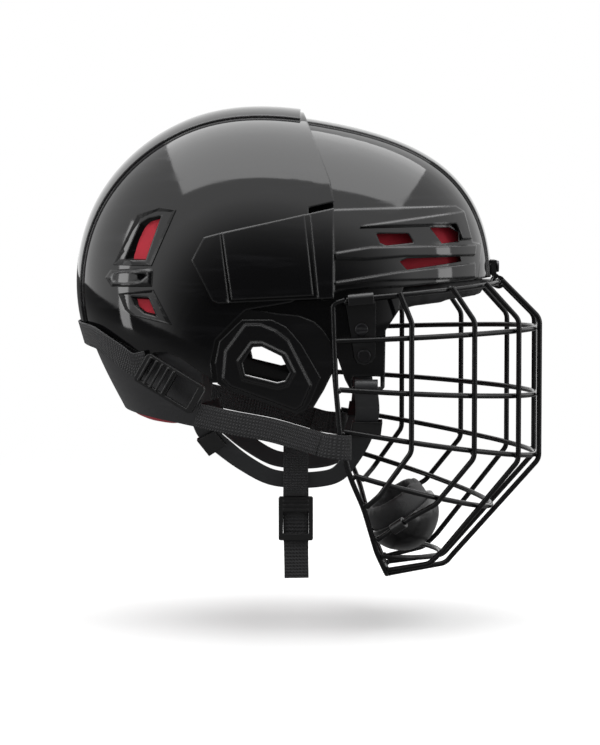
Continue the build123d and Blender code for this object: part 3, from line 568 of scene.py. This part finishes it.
for group in crossings:
    middle = sum(group, Vector()) / len(group)
    bead = bmesh.ops.create_icosphere(bm, subdivisions=2, radius=bead_size)
    bmesh.ops.translate(bm, verts=bead["verts"], vec=middle)
bead_mesh = bpy.data.meshes.new("weld_beads")
bm.to_mesh(bead_mesh)
bm.free()
bead_mesh.shade_smooth()
bead_mesh.materials.append(cage_coat)
weld_beads = place_mesh("weld_beads", bead_mesh)
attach(weld_beads, "cage")

# Clips and screws. Moulded clips hold the cage: one hooks over its top wire on each temple, and two loop round
# it under the brow. Dark plated pan head screws hold them to the shell.
clip_plastic = plastic("clip_plastic", (0.008, 0.008, 0.0085), (0.015, 0.015, 0.016), rough=0.28, worn_rough=0.40,
                       streak_size=30.0, ripple_size=700.0, ripple_depth=0.00005)
screw_metal = plastic("screw_metal", (0.05, 0.05, 0.053), (0.14, 0.14, 0.145), rough=0.28, worn_rough=0.42,
                      streak_size=90.0, ripple_size=900.0, ripple_depth=0.00002, metal=1.0)
dress(clip_plastic, "side_clip_right", "side_clip_left", "brow_clips")
dress(screw_metal, "clip_screws", "brow_screws")

# Chin cup. A black moulded bowl clipped to the lower runs of the side uprights. A thick foam pad lies inside and
# swings up with the cage.
dress(clip_plastic, "chin_cup")
chin_cushion = plump("chin_cushion", "chin_foam", foam_black, voxel=0.0025, draw_in=0.0005, pressure=4.0, cap=0.0012)
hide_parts("chin_foam")
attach(chin_cushion, "cage")

# Side straps. A smooth band each side, from the temple slot down round the jaw and up inside the nape piece, with
# a slider near each end.


def run_along(points, share):
    """a smooth line through points, at a share of its way"""
    last = len(points) - 1
    at = min(max(share, 0.0), 1.0) * last
    step = min(int(at), last - 1)
    t = at - step
    before = points[max(step - 1, 0)]
    start = points[step]
    end = points[step + 1]
    after = points[min(step + 2, last)]
    if step == 0:
        before = start * 2 - end
    if step + 1 == last:
        after = end * 2 - start
    return ((start * 2) + (end - before) * t + (before * 2 - start * 5 + end * 4 - after) * t ** 2
            + (start * 3 - before - end * 3 + after) * t ** 3) / 2


nudge = 0.004


def ribbon(name, stations, thickness, steps):
    """a flat band through stations, each a place, the way its face looks and its width, in millimetres"""
    places = [Vector(place) / mm_per_m for place, _, _ in stations]
    faces = [Vector(face) for _, face, _ in stations]
    widths = [Vector((width / mm_per_m, 0.0, 0.0)) for _, _, width in stations]
    line = [run_along(places, step / steps) for step in range(steps + 1)]
    length = sum((b - a).length for a, b in zip(line, line[1:]))
    bm = bmesh.new()
    bmesh.ops.create_grid(bm, x_segments=steps, y_segments=6, size=1.0)
    weave = bm.loops.layers.uv.new("weave")
    for face in bm.faces:
        for loop in face.loops:
            spot = loop.vert.co
            half = run_along(widths, (spot.x + 1) / 2).x / 2
            loop[weave].uv = ((spot.x + 1) / 2 * length, spot.y * half)
    for vert in bm.verts:
        share = (vert.co.x + 1) / 2
        way = (run_along(places, share + nudge) - run_along(places, share - nudge)).normalized()
        face = run_along(faces, share)
        face = (face - way * face.dot(way)).normalized()
        side = way.cross(face)
        vert.co = run_along(places, share) + side * (vert.co.y * run_along(widths, share).x / 2)
    mesh = bpy.data.meshes.new(name)
    bm.to_mesh(mesh)
    bm.free()
    mesh.shade_smooth()
    band = place_mesh(name, mesh)
    wall = band.modifiers.new("wall", "SOLIDIFY")
    wall.thickness = thickness / mm_per_m
    wall.offset = 0.0
    soft_edge = band.modifiers.new("soft_edge", "BEVEL")
    soft_edge.width = thickness / 4 / mm_per_m
    soft_edge.segments = 2
    soft_edge.limit_method = "ANGLE"
    return band


def mirrored_stations(stations):
    """the same stations on the wearer's left"""
    return [((x, -y, z), (nx, -ny, nz), width) for (x, y, z), (nx, ny, nz), width in stations]


jaw_rubber = plastic("jaw_rubber", (0.030, 0.031, 0.033), (0.045, 0.046, 0.048), rough=0.42, worn_rough=0.52,
                     streak_size=30.0, ripple_size=500.0, ripple_depth=0.00004)
front_face = (0.0, -0.919, -0.394)
rear_face = (0.0, -0.960, -0.281)
side_stations = [((61.8, -90.0, -50.5), (0.0, -0.3, 1.0), 15.5), ((61.8, -93.3, -52.0), (0.0, -0.8, 0.6), 15.5),
                 ((61.8, -93.6, -57.5), (0.0, -1.0, 0.0), 15.5), ((62.6, -87.6, -73.5), front_face, 16.0),
                 ((58.9, -81.0, -89.3), front_face, 14.0), ((52.5, -74.2, -103.5), front_face, 12.0),
                 ((43.0, -68.6, -115.5), front_face, 11.6), ((30.0, -67.2, -119.4), (0.0, -0.94, -0.34), 11.6),
                 ((12.0, -67.2, -119.8), (0.0, -0.95, -0.31), 11.6), ((-4.0, -67.8, -117.2), rear_face, 11.6),
                 ((-21.0, -70.3, -107.6), rear_face, 12.0), ((-35.0, -73.6, -96.5), rear_face, 13.0),
                 ((-45.0, -76.4, -87.0), rear_face, 13.5), ((-49.5, -79.5, -77.0), rear_face, 13.5)]
for name, cad_name, stations in (("jaw_band_right", "side_strap_right", side_stations),
                                 ("jaw_band_left", "side_strap_left", mirrored_stations(side_stations))):
    band = ribbon(name, stations, thickness=1.5, steps=96)
    band.data.materials.append(jaw_rubber)
    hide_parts(cad_name)
    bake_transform(band)
dress(clip_plastic, "front_keeper_right", "front_keeper_left", "rear_keeper_right", "rear_keeper_left")

# Cage straps. Woven black webbing round the back of the shell to a ladder buckle each side, then forward over the
# ear guard to a stitched loop on the cage's frame wire.


def woven_black():
    """webbing of twill cords: slanted ribs that turn back at each cord, from the band's own weave coordinates"""
    cord_half = 0.0011
    rib_pitch = 0.0016
    rib_slant = 1700.0
    cord_height = 500.0
    material, tree = fresh_material("webbing_woven")
    along_cloth = node(tree, "ShaderNodeUVMap", uv_map="weave")
    parts = node(tree, "ShaderNodeSeparateXYZ")
    cord = node(tree, "ShaderNodeMath", operation="PINGPONG")
    cord.inputs[1].default_value = cord_half
    lean = node(tree, "ShaderNodeMath", operation="MULTIPLY")
    lean.inputs[1].default_value = rib_slant
    turn = node(tree, "ShaderNodeMath", operation="MULTIPLY")
    turn.inputs[1].default_value = 2 * pi / rib_pitch
    total = node(tree, "ShaderNodeMath", operation="ADD")
    rib = node(tree, "ShaderNodeMath", operation="SINE")
    rib_share = node(tree, "ShaderNodeMapRange")
    rib_share.inputs["From Min"].default_value = -1.0
    cord_wave = node(tree, "ShaderNodeMath", operation="MULTIPLY")
    cord_wave.inputs[1].default_value = cord_height
    height = node(tree, "ShaderNodeMath", operation="ADD")
    fuzz = node(tree, "ShaderNodeTexNoise")
    fuzz.inputs["Scale"].default_value = 900.0
    place = node(tree, "ShaderNodeTexCoord")
    # painted shade: the colour runs from dark in the grooves to lighter on the rib crests, following the rib height,
    # and a random fuzz breaks it up
    tint = node(tree, "ShaderNodeMix", data_type="RGBA")
    tint.inputs["A"].default_value = (0.007, 0.007, 0.008, 1.0)
    tint.inputs["B"].default_value = (0.020, 0.020, 0.022, 1.0)
    groove_painted_shade = node(tree, "ShaderNodeMath", operation="MULTIPLY")
    bump = node(tree, "ShaderNodeBump")
    bump.inputs["Strength"].default_value = 0.9
    bump.inputs["Distance"].default_value = 0.00035
    surface = node(tree, "ShaderNodeBsdfPrincipled")
    surface.inputs["Roughness"].default_value = 0.62
    surface.inputs["Sheen Weight"].default_value = 0.12
    out = node(tree, "ShaderNodeOutputMaterial")
    join(tree, along_cloth.outputs[0], parts.inputs[0])
    join(tree, parts.outputs["Y"], cord.inputs[0])
    join(tree, cord.outputs[0], lean.inputs[0])
    join(tree, parts.outputs["X"], turn.inputs[0])
    join(tree, turn.outputs[0], total.inputs[0])
    join(tree, lean.outputs[0], total.inputs[1])
    join(tree, total.outputs[0], rib.inputs[0])
    join(tree, rib.outputs[0], rib_share.inputs["Value"])
    join(tree, cord.outputs[0], cord_wave.inputs[0])
    join(tree, rib_share.outputs["Result"], height.inputs[0])
    join(tree, cord_wave.outputs[0], height.inputs[1])
    join(tree, place.outputs["Object"], fuzz.inputs["Vector"])
    join(tree, rib_share.outputs["Result"], groove_painted_shade.inputs[0])
    join(tree, fuzz.outputs["Fac"], groove_painted_shade.inputs[1])
    join(tree, groove_painted_shade.outputs[0], tint.inputs["Factor"])
    join(tree, height.outputs[0], bump.inputs["Height"])
    join(tree, tint.outputs["Result"], surface.inputs["Base Color"])
    join(tree, bump.outputs["Normal"], surface.inputs["Normal"])
    join(tree, surface.outputs[0], out.inputs["Surface"])
    return material


webbing_woven = woven_black()
webbing_width = 16.0
webbing_half = 0.0007
strap_skin = skin_of("back_strap")
sight_x = -0.02
sight_reach = 0.3
sight_top = -0.012
sight_step = 0.001
sight_steps = 60
last_bearing = 72
bearing_step = 6


def strap_hit(out_way, height):
    """the strap's outer face at a height, seen from outside along a bearing"""
    return strap_skin.ray_cast(Vector((sight_x, 0.0, height)) + out_way * sight_reach, -out_way)


back_stations = []
for bearing in range(-last_bearing, last_bearing + 1, bearing_step):
    out_way = Vector((-cos(radians(bearing)), -sin(radians(bearing)), 0.0))
    for drop in range(sight_steps):
        height = sight_top - drop * sight_step
        hit, normal, _, _ = strap_hit(out_way, height)
        if hit is not None:
            break
    if hit is None:
        continue
    low = height
    while strap_hit(out_way, low)[0] is not None:
        low -= sight_step
    hit, normal, _, _ = strap_hit(out_way, (height + low) / 2)
    if hit is not None:
        back_stations.append((tuple((hit - normal * webbing_half) * mm_per_m), tuple(normal), webbing_width))
back_band = ribbon("cage_strap_back", back_stations, thickness=1.4, steps=120)
back_band.data.materials.append(webbing_woven)
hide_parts("back_strap")
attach(back_band, "rear")
dress(clip_plastic, "cage_buckle_right", "cage_buckle_left")

side_face = (0.0, -1.0, 0.0)
forward_stations = [(place, side_face, webbing_width) for place in (
    (-51.5, -99.0, -73.2), (-30.0, -99.0, -78.0), (-3.2, -99.2, -83.0), (15.0, -99.0, -88.0), (30.1, -99.0, -92.5))]
for name, cad_name, stations in (("cage_strap_right", "forward_band_right", forward_stations),
                                 ("cage_strap_left", "forward_band_left", mirrored_stations(forward_stations))):
    band = ribbon(name, stations, thickness=1.4, steps=48)
    band.data.materials.append(webbing_woven)
    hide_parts(cad_name)
    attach(band, "helmet")

loop_low, loop_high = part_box("cage_loop_right")
wire_inset = 3.5
wire_x = loop_high[0] * mm_per_m - wire_inset
loop_z = (loop_low[2] + loop_high[2]) * mm_per_m / 2
loop_stations = [((30.2, -99.0, -92.6), side_face, 16.0), ((36.5, -99.6, loop_z + 1.0), side_face, 16.0),
                 ((wire_x - 1.5, -100.9, loop_z), (-0.3, -1.0, 0.0), 16.4),
                 ((wire_x + 2.4, -100.0, loop_z), (0.8, -0.7, 0.0), 16.6),
                 ((wire_x + 3.0, -97.6, loop_z), (1.0, 0.1, 0.0), 16.6),
                 ((wire_x + 1.2, -95.2, loop_z), (0.5, 0.9, 0.0), 16.6),
                 ((wire_x - 2.0, -95.4, loop_z), (-0.2, 1.0, 0.0), 16.4),
                 ((36.0, -97.2, loop_z + 1.2), (0.1, 1.0, 0.0), 16.0), ((31.0, -97.5, -92.8), (0.0, 1.0, 0.0), 16.0),
                 ((26.0, -97.5, -91.3), (0.0, 1.0, 0.0), 16.0)]
for name, cad_name, stations in (("wire_loop_right", "cage_loop_right", loop_stations),
                                 ("wire_loop_left", "cage_loop_left", mirrored_stations(loop_stations))):
    band = ribbon(name, stations, thickness=1.3, steps=64)
    band.data.materials.append(webbing_woven)
    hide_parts(cad_name)
    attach(band, "cage")

thread_dark = plastic("thread_dark", (0.030, 0.030, 0.032), (0.045, 0.045, 0.047), rough=0.55, worn_rough=0.65,
                      streak_size=200.0, ripple_size=2500.0, ripple_depth=0.00005)


thread_radius = 0.0002
thread_stretch = 3.6


def stitches(name, body, rows):
    """short threads laid in rows: each row's first and last place, its thread's way and how many, in millimetres"""
    bm = bmesh.new()
    for first, last, way, count in rows:
        first = Vector(first)
        last = Vector(last)
        turn = Vector((1.0, 0.0, 0.0)).rotation_difference(Vector(way)).to_matrix().to_4x4()
        for number in range(count):
            thread = bmesh.ops.create_uvsphere(bm, u_segments=8, v_segments=6, radius=thread_radius)
            bmesh.ops.scale(bm, verts=thread["verts"], vec=(thread_stretch, 1.0, 1.0))
            bmesh.ops.transform(bm, verts=thread["verts"], matrix=turn)
            spot = (first + (last - first) * number / (count - 1)) / mm_per_m
            bmesh.ops.translate(bm, verts=thread["verts"], vec=spot)
    mesh = bpy.data.meshes.new(name)
    bm.to_mesh(mesh)
    bm.free()
    mesh.shade_smooth()
    mesh.materials.append(thread_dark)
    threads = place_mesh(name, mesh)
    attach(threads, body)


threads_a_row = 9
column_start = 31.4
column_pitch = 1.5
loop_face_y = 99.72
row_top = 6.6
row_foot = 5.4
loop_rows = []
for side in (-1, 1):
    for column in range(5):
        x = column_start + column * column_pitch
        slant = 1.0 if column % 2 else -1.0
        loop_rows.append(((x, side * loop_face_y, loop_z + row_top), (x, side * loop_face_y, loop_z - row_foot),
                          (1.0, 0.0, slant), threads_a_row))
stitches("loop_stitches", "cage", loop_rows)

# Chin strap. Webbing sewn in a fold over the right jaw band, with three rows of stitches at the fold's foot. It
# runs down through a ladder buckle and its free tail hangs.
chin_low, chin_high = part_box("chin_strap")
chin_x = (chin_low[0] + chin_high[0]) * mm_per_m / 2
fold_y = chin_low[1] * mm_per_m + webbing_half * mm_per_m
tail_y = -63.8
in_face = (0.0, 1.0, 0.0)
chin_stations = [((chin_x + 0.5, tail_y, -187.5), in_face, 16.5), ((chin_x + 0.2, tail_y + 0.2, -170.0), in_face, 16.6),
                 ((chin_x, tail_y, -150.0), in_face, 17.3), ((chin_x, tail_y, -131.0), in_face, 17.3),
                 ((chin_x, tail_y - 0.2, -112.0), in_face, 16.8),
                 ((chin_x, tail_y - 0.7, -100.5), (0.0, 0.9, 0.4), 16.8),
                 ((chin_x, (tail_y + fold_y) / 2, -97.0), (0.0, 0.0, 1.0), 16.8),
                 ((chin_x, fold_y + 0.7, -100.5), (0.0, -0.9, 0.4), 16.8), ((chin_x, fold_y, -112.0), side_face, 16.8),
                 ((chin_x, fold_y, -126.0), side_face, 16.8), ((chin_x, fold_y + 2.0, -130.2), (0.0, -0.7, -0.7), 16.8)]
chin_band = ribbon("chin_band", chin_stations, thickness=1.4, steps=130)
chin_band.data.materials.append(webbing_woven)
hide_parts("chin_strap")
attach(chin_band, "chin")
row_half = 6.5
chin_face_y = fold_y - 0.74
chin_rows = [((chin_x - row_half, chin_face_y, z), (chin_x + row_half, chin_face_y, z), (1.0, 0.0, slant),
              threads_a_row) for z, slant in ((-121.0, 1.0), (-122.6, -1.0), (-124.2, 1.0))]
stitches("chin_stitches", "chin", chin_rows)
dress(clip_plastic, "chin_buckle")
